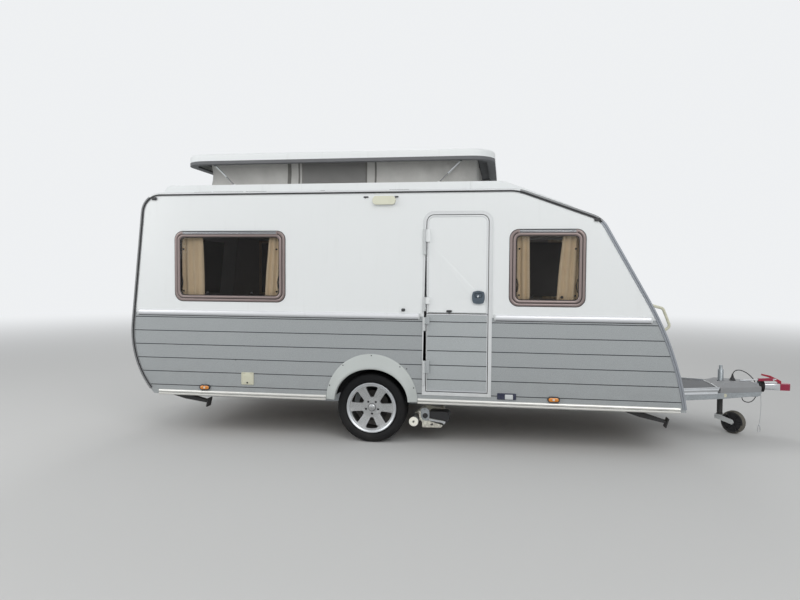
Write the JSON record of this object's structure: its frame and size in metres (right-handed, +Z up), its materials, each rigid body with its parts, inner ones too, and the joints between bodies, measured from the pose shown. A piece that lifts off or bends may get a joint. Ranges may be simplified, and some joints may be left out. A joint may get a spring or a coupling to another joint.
{
  "type": "travel caravan",
  "caption": "Single-axle travel caravan with a lifting roof on a fabric skirt, a stable door, side windows, an A-frame drawbar, jockey wheel and corner steadies.",
  "frame": {"origin": "on the ground, under the middle of the whole length from the rear grab handles to the coupling head", "axes": "+X forward to the coupling, +Y left, +Z up; the door is on the -Y side"},
  "size_m": [5.731, 2.114, 2.416],
  "materials": {
    "white_sheet": "satin white coated sheet",
    "grey_sheet": "metallic grey coated sheet",
    "grey_panel": "moulded glass-fibre panel",
    "white_plastic": "moulded glass-fibre",
    "trim": "anodised trim",
    "arch": "light grey moulded plastic",
    "window_frame": "brown metallic frame",
    "smoked": "smoked acrylic",
    "floor": "floor board",
    "wood": "light wood laminate",
    "cushion": "woven upholstery",
    "curtain": "beige curtain",
    "tent_fabric": "grey coated tent fabric",
    "galvanised": "hot-dip galvanised steel",
    "strut": "grey gas strut tube",
    "rod": "dark polished rod",
    "steel": "plated steel",
    "alloy": "silver alloy wheel",
    "tyre": "tyre rubber",
    "rubber": "black rubber",
    "black": "black moulded plastic",
    "cover_plastic": "grey moulded cover",
    "deck": "dark grey deck",
    "cream": "cream plastic",
    "cream_paint": "cream painted steel",
    "lamp": "amber and red lens",
    "red": "crimson grip"
  },
  "bodies": {
    "caravan": {"axle_beam": "galvanised", "bellows": "rubber", "breakaway_cable": "steel", "chassis_rail_left": "galvanised", "chassis_rail_right": "galvanised", "coupling_head": "galvanised", "cross_members": "galvanised", "curtains": "curtain", "dinette_table": "wood", "door_frame": "trim", "drawbar_cover": "cover_plastic", "drawbar_deck": "deck", "edge_trims": "trim", "floor_panel": "floor", "front_panel": "grey_panel", "furniture": "wood", "grab_handles": "cream", "hand_levers": "red", "jockey_tube": "galvanised", "lamps": "lamp", "lead": "black", "mover": "cream_paint", "overrun_housing": "galvanised", "plug": "black", "rear_panel": "grey_panel", "roof_panel": "white_plastic", "roof_shell": "white_plastic", "seat_cushions": "cushion", "service_covers": "cream", "side_rails": "trim", "skirt": "tent_fabric", "snap_hook": "steel", "wall_lower_left": "grey_sheet", "wall_lower_right": "grey_sheet", "wall_upper_left": "white_sheet", "wall_upper_right": "white_sheet", "wheel_arches": "arch", "wheel_housings": "black", "window_frames": "window_frame", "window_panes": "smoked"},
    "wheel_right": {"tyre_right": "tyre", "rim_right": "alloy"},
    "wheel_left": {"tyre_left": "tyre", "rim_left": "alloy"},
    "door_upper": {"door_upper": "white_sheet"},
    "door_lower": {"door_lower": "grey_sheet"},
    "lid": {"roof_lid": "white_plastic"},
    "strut_cylinders_rear": {"strut_cylinders_rear": "strut"},
    "strut_cylinders_front": {"strut_cylinders_front": "strut"},
    "strut_rods_rear": {"strut_rods_rear": "rod"},
    "strut_rods_front": {"strut_rods_front": "rod"},
    "jockey_leg": {"jockey_leg": "galvanised"},
    "jockey_fork": {"jockey_fork": "galvanised"},
    "jockey_wheel": {"jockey_wheel": "tyre"},
    "steady_front_left": {"steady_front_left": "galvanised"},
    "steady_front_right": {"steady_front_right": "galvanised"},
    "steady_rear_left": {"steady_rear_left": "galvanised"},
    "steady_rear_right": {"steady_rear_right": "galvanised"}
  },
  "joints": [
    {"name": "wheel_right_spin", "type": "hinge", "parent": "caravan", "child": "wheel_right", "pos_m": [-0.7145, -0.885, 0.288], "axis": [0, 1, 0], "continuous": true},
    {"name": "wheel_left_spin", "type": "hinge", "parent": "caravan", "child": "wheel_left", "pos_m": [-0.7145, 0.885, 0.288], "axis": [0, 1, 0], "continuous": true},
    {"name": "door_upper_hinge", "type": "hinge", "parent": "caravan", "child": "door_upper", "pos_m": [-0.2745, -1.044, 1.4], "axis": [0, 0, -1], "range_deg": [0, 165]},
    {"name": "door_lower_hinge", "type": "hinge", "parent": "caravan", "child": "door_lower", "pos_m": [-0.2745, -1.044, 0.8], "axis": [0, 0, -1], "range_deg": [0, 165]},
    {"name": "roof_lift", "type": "slide", "parent": "caravan", "child": "lid", "axis": [0, 0, 1], "range_m": [-0.18, 0], "deforming": ["skirt"]},
    {"name": "strut_pivot_rear", "type": "hinge", "parent": "lid", "child": "strut_cylinders_rear", "pos_m": [-2.1545, 0, 2.333], "axis": [0, 1, 0], "range_deg": [-45, 0]},
    {"name": "strut_slide_rear", "type": "slide", "parent": "strut_cylinders_rear", "child": "strut_rods_rear", "axis": [0.7071, 0, -0.7071], "range_m": [-0.0752, 0]},
    {"name": "strut_pivot_front", "type": "hinge", "parent": "lid", "child": "strut_cylinders_front", "pos_m": [-0.0095, 0, 2.333], "axis": [0, 1, 0], "range_deg": [0, 45]},
    {"name": "strut_slide_front", "type": "slide", "parent": "strut_cylinders_front", "child": "strut_rods_front", "axis": [-0.7071, 0, -0.7071], "range_m": [-0.0752, 0]},
    {"name": "jockey_wind", "type": "slide", "parent": "caravan", "child": "jockey_leg", "axis": [0, 0, -1], "range_m": [0, 0.2]},
    {"name": "jockey_swivel", "type": "hinge", "parent": "jockey_leg", "child": "jockey_fork", "pos_m": [2.2855, 0, 0.155], "axis": [0, 0, 1], "continuous": true},
    {"name": "jockey_wheel_spin", "type": "hinge", "parent": "jockey_fork", "child": "jockey_wheel", "pos_m": [2.37743, -0.07713, 0.1], "axis": [0.6428, 0.766, 0], "continuous": true},
    {"name": "steady_rear_right_hinge", "type": "hinge", "parent": "caravan", "child": "steady_rear_right", "pos_m": [-2.5225, -0.838, 0.332], "axis": [0, 1, 0], "range_deg": [0, 56]},
    {"name": "steady_rear_left_hinge", "type": "hinge", "parent": "caravan", "child": "steady_rear_left", "pos_m": [-2.5225, 0.838, 0.332], "axis": [0, 1, 0], "range_deg": [0, 56]},
    {"name": "steady_front_right_hinge", "type": "hinge", "parent": "caravan", "child": "steady_front_right", "pos_m": [1.3155, -0.838, 0.332], "axis": [0, 1, 0], "range_deg": [0, 52]},
    {"name": "steady_front_left_hinge", "type": "hinge", "parent": "caravan", "child": "steady_front_left", "pos_m": [1.3155, 0.838, 0.332], "axis": [0, 1, 0], "range_deg": [0, 52]}
  ],
  "couplings": [
    {"joint": "strut_pivot_rear", "follows": "roof_lift", "rad_per_m": 4.3326},
    {"joint": "strut_pivot_front", "follows": "roof_lift", "rad_per_m": -4.3326},
    {"joint": "strut_slide_rear", "follows": "roof_lift", "ratio": 0.4165},
    {"joint": "strut_slide_front", "follows": "roof_lift", "ratio": 0.4165}
  ]
}
